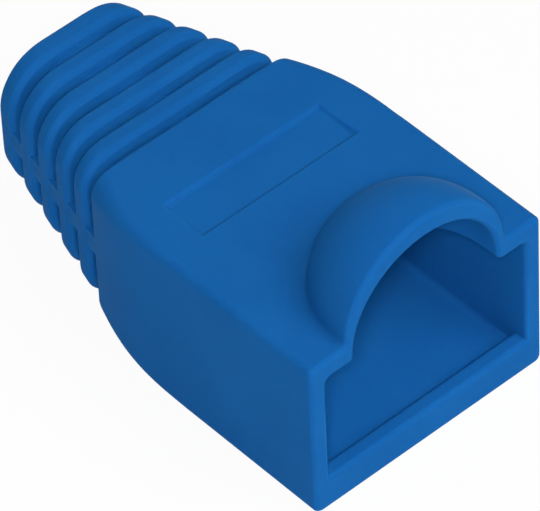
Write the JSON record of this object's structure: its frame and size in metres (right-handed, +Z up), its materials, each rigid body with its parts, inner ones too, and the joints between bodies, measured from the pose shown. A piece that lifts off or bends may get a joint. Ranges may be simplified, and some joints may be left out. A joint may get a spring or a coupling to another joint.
{
  "type": "rj45 strain relief boot",
  "caption": "Slip-on strain relief boot for a modular plug: plug socket, domed latch hood with an arched mouth, and a tapering ribbed tail with a cable bore.",
  "frame": {"origin": "middle of the footprint of the bounding box, on the flat underside", "axes": "+Y from the plug mouth to the cable end, +Z up to the latch hood, X across; x = 0 is the plane of symmetry"},
  "size_m": [0.0144, 0.0254, 0.0145],
  "materials": {
    "soft_pvc": "satin"
  },
  "bodies": {
    "root": {"boot": "soft_pvc"}
  },
  "joints": []
}
